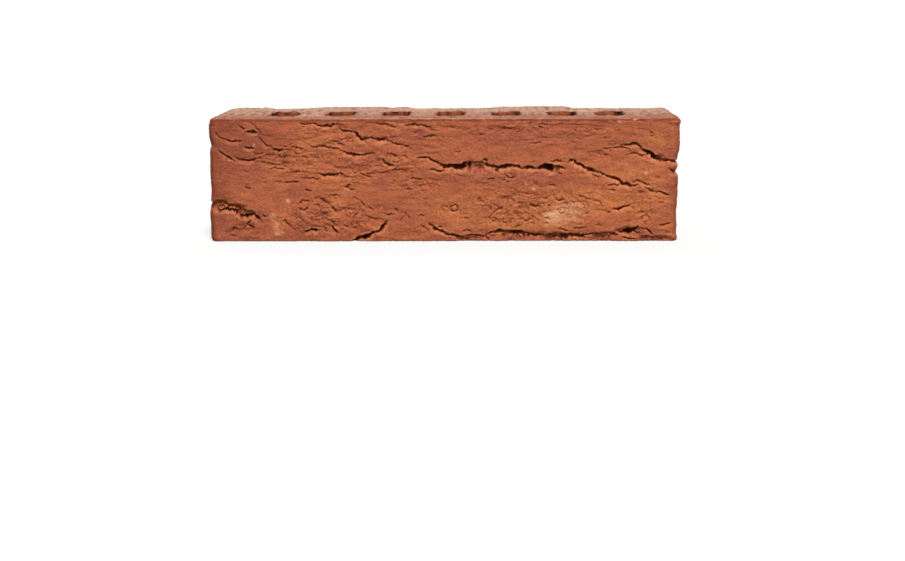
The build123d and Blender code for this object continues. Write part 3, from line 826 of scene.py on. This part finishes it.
def outer_wall():
    """The upright skin as rows by columns: points in mm, the vertex values that its colours are
    made from, plain positions, and the outline that it starts from. A point stands back from
    the outline by its relief, by a quarter round of 0.5 mm at both beds, and by chips of up to
    2 mm there. Inside a tear it also lies higher by half the tear's depth, which makes the lip
    hang over. The recess value, painted shade where the relief is sunk and painted highlight
    where it stands out, holds a thin line of painted shade 1 mm below the upper bed as well."""
    outline, outward, run = rounded_loop(
        LENGTH, DEPTH, CORNER_RADIUS, (FACE_STEP, END_STEP, BACK_STEP), CORNER_STEPS
    )
    rows = edge_rows(ROW_STEP)
    shape = (len(rows), len(run))
    up = np.broadcast_to(rows[:, None], shape)
    run = np.broadcast_to(run, shape)
    base = np.empty((*shape, 3))
    base[..., :2] = outline
    base[..., 2] = up
    normals = np.broadcast_to(outward, (*shape, 2))
    relief, zones = side_relief(base, normals, run, up)
    flat = base.reshape(-1, 3)
    chips = np.clip(layered_noise(flat, 6.0, 101, layers=3) - 0.25, 0, 1).reshape(shape)
    # Painted shade: how much deeper a point lies than its neighbours, and a thin line 1 mm below the upper
    # bed where no chip breaks it
    recess = sunk(relief, 3) + 0.45 * np.exp(-(((HEIGHT - 1.0 - up) / 0.5) ** 2)) * (chips < 0.1)
    relief = relief + rounded_edge(up, 0.5) + rounded_edge(up, 2.0) * chips
    placed = base.copy()
    placed[..., :2] -= normals * relief[..., None]
    free = np.clip(np.minimum(up, HEIGHT - up) / 2.0, 0, 1)
    placed[..., 2] += 0.5 * zones["hollow"] * free
    return placed, {"run": run, "sunk": recess, **zones}, base, outline


def slot_wall(place, number):
    """A slot's wall as rows by columns, with how dark each point is. The mandrel left lines along
    it, so its depth is a noise drawn out upwards. Its rims broke out in crumbs here, and there a
    burr hangs over the slot. Its sides, and most where a rim broke out, are darkened as painted shade."""
    outline, into_clay, _ = rounded_loop(SLOT_WIDTH, SLOT_DEPTH, SLOT_RADIUS, (1.1, 1.1, 1.1), 7)
    rows = edge_rows(2.4)
    base = np.empty((len(rows), len(outline), 3))
    base[..., :2] = outline + (place, 0)
    base[..., 2] = rows[:, None]
    flat = base.reshape(-1, 3)
    lines = layered_noise(flat * (1, 1, 0.05), 2.4, 111 + number, layers=3)
    depth = 0.16 * lines + 0.08 * layered_noise(flat, 2.5, 131 + number)
    broken = layered_noise(flat, 4.0, 151 + number, layers=3).reshape(base.shape[:2])
    depth = depth.reshape(base.shape[:2]) + rounded_edge(base[..., 2], 0.4)
    depth = depth + 0.8 * np.clip(broken, 0, 1) * rounded_edge(base[..., 2], 2.2)
    from_bed = np.minimum(base[..., 2], HEIGHT - base[..., 2])
    depth = depth - 1.1 * np.clip(-broken, 0, 0.6) * np.exp(-((from_bed / 0.9) ** 2))
    placed = base.copy()
    placed[..., :2] += into_clay * depth[..., None]
    # Painted shade: the slot's sides and its broken rims are darkened
    shade = 3.4 * np.abs(into_clay[:, 0]) ** 2 + 1.5 * broken
    return placed, base, shade


def follow_outline(points, outline, ring):
    """Loose bed points move with the outline where tears and swells have pushed it inwards:
    by its own shift at the edge, fading to nothing 12 mm inside."""
    shift = ring - outline
    moved = points.copy()
    half_l, half_d = LENGTH / 2, DEPTH / 2
    front = outline[:, 1] < -half_d + 1e-6
    back = outline[:, 1] > half_d - 1e-6
    left = outline[:, 0] < -half_l + 1e-6
    right = outline[:, 0] > half_l - 1e-6
    sides = ((front, 1, -half_d), (back, 1, half_d), (left, 0, -half_l), (right, 0, half_l))
    for side, axis, edge in sides:
        order = np.argsort(outline[side, 1 - axis])
        along = outline[side, 1 - axis][order]
        inset = shift[side, axis][order]
        fade = np.clip(1 - np.abs(points[:, axis] - edge) / 12.0, 0, 1) ** 2
        moved[:, axis] += np.interp(points[:, 1 - axis], along, inset) * fade
    return moved


def settle_on_beds(placed, base):
    """Ends of a wall follow the relief of both beds, fading out 3 mm from them."""
    shape = base.shape[:2]
    x, y, up = base[..., 0].ravel(), base[..., 1].ravel(), base[..., 2]
    low = 1 - smooth_step(0, 3.0, up)
    high = 1 - smooth_step(0, 3.0, HEIGHT - up)
    placed[..., 2] += low * lower_bed(x, y).reshape(shape)
    placed[..., 2] += high * (upper_bed(x, y).reshape(shape) - HEIGHT)
    return placed


def brick_arrays():
    """All points, quads and triangles of the brick, with its vertex values: the grid of the
    upright skin, a grid for each slot, and each bed spanned between their end rows."""
    placed, side_values, base, outline = outer_wall()
    placed = settle_on_beds(placed, base)
    rows, columns = base.shape[:2]
    points = [placed.reshape(-1, 3)]
    quads = [grid_quads(rows, columns, 0)]
    rings = {0: [np.arange(columns)], 1: [np.arange(columns) + (rows - 1) * columns]}
    loops = [outline]
    side_count = count = rows * columns
    shades = []
    for number, place in enumerate(SLOT_PLACES):
        wall, wall_base, shade = slot_wall(place, number)
        wall = settle_on_beds(wall, wall_base)
        r, c = wall.shape[:2]
        quads.append(grid_quads(r, c, count, outward=False))
        rings[0].append(np.arange(c) + count)
        rings[1].append(np.arange(c) + count + (r - 1) * c)
        loops.append(wall_base[0, :, :2])
        points.append(wall.reshape(-1, 3))
        shades.append(shade.ravel())
        count += r * c
    triangles = []
    wall_count = count
    beds = ((0, lower_bed, 200, LOWER_BED_STEP), (1, upper_bed, 300, UPPER_BED_STEP))
    for top, height, seed, step in beds:
        interior = bed_points(seed, step)
        index = np.concatenate([*rings[top], np.arange(len(interior)) + count])
        faces = bed_triangles(loops, interior)
        triangles.append(index[faces if top else faces[:, ::-1]])
        moved = follow_outline(interior, outline, placed[-1 if top else 0, :, :2])
        points.append(np.column_stack([moved, height(moved[:, 0], moved[:, 1])]))
        count += len(interior)
    values = {name: np.zeros(count) for name in (*side_values, "bed", "slot_wall")}
    values["run"][side_count:] = np.inf
    for name, value in side_values.items():
        values[name][:side_count] = value.ravel()
    # Painted shade on the slots' walls, carried in the hollow value
    values["hollow"][side_count:wall_count] = np.concatenate(shades)
    values["bed"][wall_count:] = 1.0
    values["slot_wall"][side_count:wall_count] = 1.0
    return np.concatenate(points), np.concatenate(quads), np.concatenate(triangles), values


def kiln_colours(points, values):
    """Shares of each shade at each vertex, 0 to 1: warm where air reached the clay, cool where it ran
    short and as painted shade on the left third; pale bloom; painted shade in deep tears, slot walls and
    recesses, on the front arrises, under the brim and in patches; painted highlight on crests; on the beds,
    a dusty grey with painted sheen towards the back, and dragged soot. Patches are listed on the face and set
    by a slow noise elsewhere."""
    run, up = values["run"], points[:, 2]
    drift = layered_noise(points, 34.0, 401, layers=3)
    blotch = layered_noise(points, 8.0, 411, layers=4, gain=0.7, stretch=(1.6, 1.6, 1.0))
    seen_run = run + 4.5 * layered_noise(points, 9.0, 421, layers=3)
    seen_up = up + 2.6 * layered_noise(points, 8.0, 431, layers=3)
    placed = patches(seen_run, seen_up, ORANGE) - patches(seen_run, seen_up, MAUVE)
    fire = placed + 0.25 * drift + 0.40 * blotch
    patchy = np.clip(0.85 + 0.35 * layered_noise(points, 3.0, 441, layers=3), 0, 1.2)
    bloom = patches(run + 0.5 * blotch, up + 0.5 * drift, PALE)
    smears = patches(points[:, 0] + 2 * blotch, points[:, 1] + blotch, BED_SMEARS)
    bloom = np.where(values["bed"] > 0, smears * (up > HEIGHT / 2), bloom)
    # Painted sheen: the beds turn a paler dusty grey towards the back, broken up by a dragged noise
    behind = smooth_step(-DEPTH / 2, DEPTH / 2, points[:, 1] + 5 * drift + 5 * blotch)
    dragged = layered_noise(points * (1, 0.12, 1), 2.2, 451, layers=2, gain=0.8)
    # Painted shade: the front arrises, the left one fully and the right one at 0.55, a band just under the
    # upper bed's front edge, and the shade patches
    brim = smooth_step(HEIGHT - 2.2, HEIGHT - 1.0, up) * (points[:, 1] < 2 - DEPTH / 2)
    corner = np.minimum(np.abs(points[:, 0]) - LENGTH / 2, np.abs(points[:, 1]) - DEPTH / 2)
    arris_share = np.where(points[:, 0] < 0, 1.0, 0.55) * (points[:, 1] < 0)
    arris = np.exp(-(((corner + 1.2) / 1.6) ** 2)) * arris_share
    painted_shade = np.maximum(np.maximum(arris, brim), patches(seen_run, seen_up, SHADE_PATCHES))
    return {
        "warm": np.clip(fire, 0, 1),
        "cool": np.clip(-fire, 0, 1),
        "bloom": np.clip(bloom * patchy, 0, 1),
        # Dusty grey with a painted sheen that grows towards the back of the beds
        "dust_and_painted_sheen": values["bed"] * np.clip(behind + 0.5 * dragged, 0, 1),
        "soot": values["bed"] * smooth_step(0.2, 1.0, -dragged),
        # Painted shade on the front arrises, under the brim and in patches
        "painted_shade": painted_shade * (1 - values["bed"]),
        # Painted shade in tears deeper than 1.2 mm and on the slots' walls
        "hollow": smooth_step(1.2, 3.6, values["hollow"]),
        # Painted shade in recesses and painted highlight on crests of the fine relief
        "recess": np.clip(values["sunk"] / 0.8, 0, 1),
        "crest": np.clip(-values["sunk"] / 0.5, 0, 1),
        "bed": values["bed"],
        "slot_wall": values["slot_wall"],
        "scaly": values["scaly"],
        "wrinkled": values["wrinkled"],
    }


def build_brick():
    """The brick as one closed mesh, thinned to the triangle limit where it is flattest."""
    points, quads, triangles, values = brick_arrays()
    mesh = bpy.data.meshes.new("clinker_brick")
    corner_index = np.concatenate([quads.ravel(), triangles.ravel()]).astype(np.int32)
    sizes = np.concatenate([np.full(len(quads), 4), np.full(len(triangles), 3)])
    starts = np.concatenate([[0], np.cumsum(sizes)[:-1]])
    mesh.vertices.add(len(points))
    mesh.vertices.foreach_set("co", (points / 1000).astype(np.float32).ravel())
    mesh.loops.add(len(corner_index))
    mesh.loops.foreach_set("vertex_index", corner_index)
    mesh.polygons.add(len(sizes))
    mesh.polygons.foreach_set("loop_start", starts.astype(np.int32))
    mesh.update(calc_edges=True)
    for name, value in kiln_colours(points, values).items():
        attribute = mesh.attributes.new(name, "FLOAT", "POINT")
        attribute.data.foreach_set("value", value.astype(np.float32))
    mesh.shade_smooth()
    brick = bpy.data.objects.new("clinker_brick", mesh)
    bpy.context.scene.collection.objects.link(brick)
    thin = brick.modifiers.new("thin", "DECIMATE")
    thin.ratio = min(1.0, TRIANGLE_LIMIT / (2 * len(quads) + len(triangles)))
    graph = bpy.context.evaluated_depsgraph_get()
    thinned = bpy.data.meshes.new_from_object(brick.evaluated_get(graph), depsgraph=graph)
    brick.modifiers.clear()
    brick.data = thinned
    thinned.name = "clinker_brick"
    return brick


def linear(code):
    """An sRGB hex colour as linear red, green, blue and alpha."""
    channels = [int(code[i : i + 2], 16) / 255 for i in (1, 3, 5)]
    return [c / 12.92 if c <= 0.04045 else ((c + 0.055) / 1.055) ** 2.4 for c in channels] + [1.0]


def add_node(tree, kind, links=None, settings=None, values=None):
    """Adds a node, sets its properties and its sockets' values, and links {socket: source}."""
    node = tree.nodes.new(kind)
    for name, value in (settings or {}).items():
        setattr(node, name, value)
    for name, value in (values or {}).items():
        node.inputs[name].default_value = value
    for name, source in (links or {}).items():
        tree.links.new(source, node.inputs[name])
    return node


# Grit in the clay: grain size, share by which it lightens or darkens the clay, and its height
GRIT = [(1.1, 0.14, 0.26), (0.5, 0.28, 0.22)]

# Shades laid one over the other on the plain clay: vertex value that places them, colour,
# greatest share, and how much the edge grain breaks up their edges
EDGE_GRAIN = 2.2
CLAY = "#a3593b"
SHADES = [
    ("warm", "#b3683e", 1.0, 1.2),
    # Mauve-brown of the kiln, and over the left third of the face painted shade as well
    ("cool", "#924e3a", 1.0, 1.2),
    ("bed", "#84553f", 1.0, 0.0),
    # Dusty grey of the beds, partly a painted sheen towards their back
    ("dust_and_painted_sheen", "#9b7765", 1.0, 0.4),
    ("soot", "#5e3427", 0.7, 0.5),
    # Painted shade on the front arrises, under the brim and in the shade patches
    ("painted_shade", "#743622", 0.8, 0.4),
    ("slot_wall", "#8c4b30", 1.0, 0.0),
    # Painted highlight on points that stand out above their neighbours
    ("crest", "#c98355", 0.4, 0.5),
    ("bloom", "#dcb08a", 0.75, 0.6),
    # Painted shade in recesses of the fine relief
    ("recess", "#641200", 0.55, 0.0),
    # Painted shade in deep tears and on the slots' walls
    ("hollow", "#4a0400", 0.93, 0.0),
]

# The crease colour is painted shade, laid at half strength along each crease
# Hairline creases: vertex value that places them, spacing in mm, squeeze along X, Y and Z
CREASE_COLOUR, CREASE_DEPTH = "#520e00", 0.35
CREASES = [
    ("scaly", 3.2, (1.0, 1.0, 1.1)),
    ("wrinkled", 3.0, (0.5, 0.5, 1.0)),
]


def fired_clay():
    """Clinker clay fired until nearly vitrified: matt skin with hardly any sheen, red where air
    reached it, mauve-brown where the kiln ran short of air and, over the left third, as painted
    shade, with a painted highlight on its crests, pale bloom, painted shade in hollows, recesses,
    creases, on the front arrises and under the brim, and a painted sheen towards the back of the
    beds. Its tooth is grit of 0.5 to 1.1 mm, drawn out by the wire on the beds, and hairline
    creases run through its scales and wrinkles."""
    material = bpy.data.materials.new("fired_clinker_clay_torn_face")
    material.use_nodes = True
    tree = material.node_tree
    tree.nodes.clear()
    place = add_node(tree, "ShaderNodeTexCoord").outputs["Object"]
    on_bed = add_node(tree, "ShaderNodeAttribute", settings={"attribute_name": "bed"}).outputs["Fac"]
    times = {"operation": "MULTIPLY"}
    values = {1: (1.0, 0.08, 1.0)}
    dragged = add_node(tree, "ShaderNodeVectorMath", {0: place}, times, values).outputs[0]
    links = {0: on_bed, 4: place, 5: dragged}
    grit_place = add_node(tree, "ShaderNodeMix", links, {"data_type": "VECTOR"}).outputs[1]
    grains = {}
    for size in (*(size for size, _, _ in GRIT), EDGE_GRAIN):
        values = {"Scale": 1000 / size, "Detail": 3.0, "Roughness": 0.6}
        noise = add_node(tree, "ShaderNodeTexNoise", {"Vector": grit_place}, values=values)
        grains[size] = noise.outputs["Fac"]

    links = {}
    for name, colour, share, breakup in SHADES:
        mask = add_node(tree, "ShaderNodeAttribute", settings={"attribute_name": name}).outputs["Fac"]
        shake = add_node(tree, "ShaderNodeMath", {0: grains[EDGE_GRAIN]}, {"operation": "SUBTRACT"}, {1: 0.5})
        added = {0: shake.outputs[0], 2: mask}
        shake = add_node(tree, "ShaderNodeMath", added, {"operation": "MULTIPLY_ADD"}, {1: breakup})
        limits = {"From Min": 0.12 * breakup, "From Max": 1.0, "To Max": share}
        laid = add_node(tree, "ShaderNodeMapRange", {"Value": shake.outputs[0]}, values=limits)
        links[0] = laid.outputs[0]
        values = {6: linear(CLAY), 7: linear(colour)}
        skin = add_node(tree, "ShaderNodeMix", links, {"data_type": "RGBA"}, values).outputs[2]
        links[6] = skin

    # Single grit grains, light and dark, that also stand out of the skin
    bump = {}
    for size, spread, height in GRIT:
        limits = {"From Min": 0.3, "From Max": 0.7, "To Min": 1 - spread, "To Max": 1 + spread}
        speckle = add_node(tree, "ShaderNodeMapRange", {"Value": grains[size]}, values=limits)
        links = {"Vector": skin, "Scale": speckle.outputs[0]}
        skin = add_node(tree, "ShaderNodeVectorMath", links, {"operation": "SCALE"}).outputs[0]
        bump["Height"] = grains[size]
        values = {"Strength": 1.0, "Distance": height / 1000}
        bump["Normal"] = add_node(tree, "ShaderNodeBump", bump, values=values).outputs[0]

    # Creases run where a noise crosses its middle, and a second noise breaks them into arcs
    for name, size, squeeze in CREASES:
        drawn = add_node(tree, "ShaderNodeVectorMath", {0: place}, times, {1: squeeze}).outputs[0]
        values = {"Scale": 1000 / size, "Detail": 1.5, "Roughness": 0.5}
        wave = add_node(tree, "ShaderNodeTexNoise", {"Vector": drawn}, values=values).outputs["Fac"]
        kind = {"noise_dimensions": "4D"}
        values = {"Scale": 1000 / (1.7 * size), "Detail": 1.0, "W": 3.0}
        gaps = add_node(tree, "ShaderNodeTexNoise", {"Vector": drawn}, kind, values).outputs["Fac"]
        off = add_node(tree, "ShaderNodeMath", {0: wave}, {"operation": "SUBTRACT"}, {1: 0.5}).outputs[0]
        off = add_node(tree, "ShaderNodeMath", {0: off}, {"operation": "ABSOLUTE"}).outputs[0]
        kind = {"interpolation_type": "SMOOTHSTEP"}
        limits = {"From Min": 0.0, "From Max": 0.028, "To Min": 1.0, "To Max": 0.0}
        line = add_node(tree, "ShaderNodeMapRange", {"Value": off}, kind, limits)
        limits = {"From Min": 0.46, "From Max": 0.56}
        broken = add_node(tree, "ShaderNodeMapRange", {"Value": gaps}, values=limits)
        zone = add_node(tree, "ShaderNodeAttribute", settings={"attribute_name": name}).outputs["Fac"]
        links = {0: line.outputs[0], 1: broken.outputs[0]}
        crease = add_node(tree, "ShaderNodeMath", links, times).outputs[0]
        crease = add_node(tree, "ShaderNodeMath", {0: crease, 1: zone}, times).outputs[0]
        bump["Height"] = crease
        values = {"Strength": 1.0, "Distance": CREASE_DEPTH / 1000}
        bump["Normal"] = add_node(tree, "ShaderNodeBump", bump, {"invert": True}, values).outputs[0]
        # Painted shade: each crease is darkened half way to the crease colour
        share = add_node(tree, "ShaderNodeMath", {0: crease}, times, {1: 0.5}).outputs[0]
        links, values = {0: share, 6: skin}, {7: linear(CREASE_COLOUR)}
        skin = add_node(tree, "ShaderNodeMix", links, {"data_type": "RGBA"}, values).outputs[2]

    links = {"Base Color": skin, "Normal": bump["Normal"]}
    values = {"Roughness": 0.85, "IOR": 1.5, "Specular IOR Level": 0.12}
    surface = add_node(tree, "ShaderNodeBsdfPrincipled", links, values=values)
    add_node(tree, "ShaderNodeOutputMaterial", {"Surface": surface.outputs[0]})
    return material


def pale_floor():
    """A wide pale floor. What the camera sees of it is partly plain white and partly lit, so the
    object's shadow stays. From below it lets the view through."""
    mesh = bpy.data.meshes.new("floor")
    side = 12.0
    corners = [(-side, -side, 0), (side, -side, 0), (side, side, 0), (-side, side, 0)]
    mesh.from_pydata(corners, [], [(0, 1, 2, 3)])
    material = bpy.data.materials.new("matt_white_paper")
    material.use_nodes = True
    tree = material.node_tree
    tree.nodes.clear()
    paper = add_node(tree, "ShaderNodeBsdfDiffuse", values={"Color": linear("#a2a2a0")})
    white = add_node(tree, "ShaderNodeEmission", values={"Color": linear("#ffffff"), "Strength": 1.25})
    links = {1: paper.outputs[0], 2: white.outputs[0]}
    both = add_node(tree, "ShaderNodeMixShader", links, values={0: 0.6})
    seen = add_node(tree, "ShaderNodeLightPath").outputs["Is Camera Ray"]
    shown = add_node(tree, "ShaderNodeMixShader", {0: seen, 1: paper.outputs[0], 2: both.outputs[0]})
    clear = add_node(tree, "ShaderNodeBsdfTransparent")
    behind = add_node(tree, "ShaderNodeNewGeometry").outputs["Backfacing"]
    surface = add_node(tree, "ShaderNodeMixShader", {0: behind, 1: shown.outputs[0], 2: clear.outputs[0]})
    add_node(tree, "ShaderNodeOutputMaterial", {"Surface": surface.outputs[0]})
    mesh.materials.append(material)
    floor = bpy.data.objects.new("floor", mesh)
    bpy.context.scene.collection.objects.link(floor)


def soft_sun(name, azimuth, elevation, spread, strength):
    """A wide sun that lights every part of the scene alike. Azimuth 0 shines along +Y, onto the
    face, and grows as the sun moves to the right; all angles are in degrees."""
    lamp = bpy.data.lights.new(name, "SUN")
    lamp.angle = math.radians(spread)
    lamp.energy = strength
    holder = bpy.data.objects.new(name, lamp)
    holder.rotation_euler = (math.radians(90 - elevation), 0, math.radians(azimuth))
    bpy.context.scene.collection.objects.link(holder)


def studio():
    """Even pale surroundings, a key light from high above the face, and a weaker and wider one
    from behind. The camera sees the surroundings as plain white."""
    world = bpy.data.worlds.new("white_studio")
    bpy.context.scene.world = world
    world.use_nodes = True
    tree = world.node_tree
    tree.nodes.clear()
    seen = add_node(tree, "ShaderNodeLightPath").outputs["Is Camera Ray"]
    around = add_node(tree, "ShaderNodeBackground", values={"Color": linear("#ffffff"), "Strength": 0.28})
    shown = add_node(tree, "ShaderNodeBackground", values={"Color": linear("#ffffff"), "Strength": 1.0})
    both = add_node(tree, "ShaderNodeMixShader", {0: seen, 1: around.outputs[0], 2: shown.outputs[0]})
    add_node(tree, "ShaderNodeOutputWorld", {"Surface": both.outputs[0]})
    soft_sun("key", azimuth=14, elevation=58, spread=7, strength=4.6)
    soft_sun("back_fill", azimuth=186, elevation=48, spread=50, strength=1.4)
    bpy.context.scene.view_settings.view_transform = "Standard"


def camera():
    """Stands where the photograph was taken from: close to the level of the upper bed, almost
    square to the face, with the brick in the upper half of the picture."""
    lens = bpy.data.cameras.new("camera")
    lens.sensor_width = 36.0
    lens.lens = 36.0 * FOCAL_PIXELS / IMAGE_WIDTH
    lens.clip_start = 0.05
    eye = bpy.data.objects.new("camera", lens)
    eye.location = CAMERA_PLACE
    eye.rotation_euler = [math.radians(a) for a in (90 - CAMERA_PITCH, CAMERA_ROLL, CAMERA_YAW)]
    bpy.context.scene.collection.objects.link(eye)
    bpy.context.scene.camera = eye


brick = build_brick()
brick.data.materials.append(fired_clay())
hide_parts("brick")
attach(brick, "root")
pale_floor()
studio()
camera()
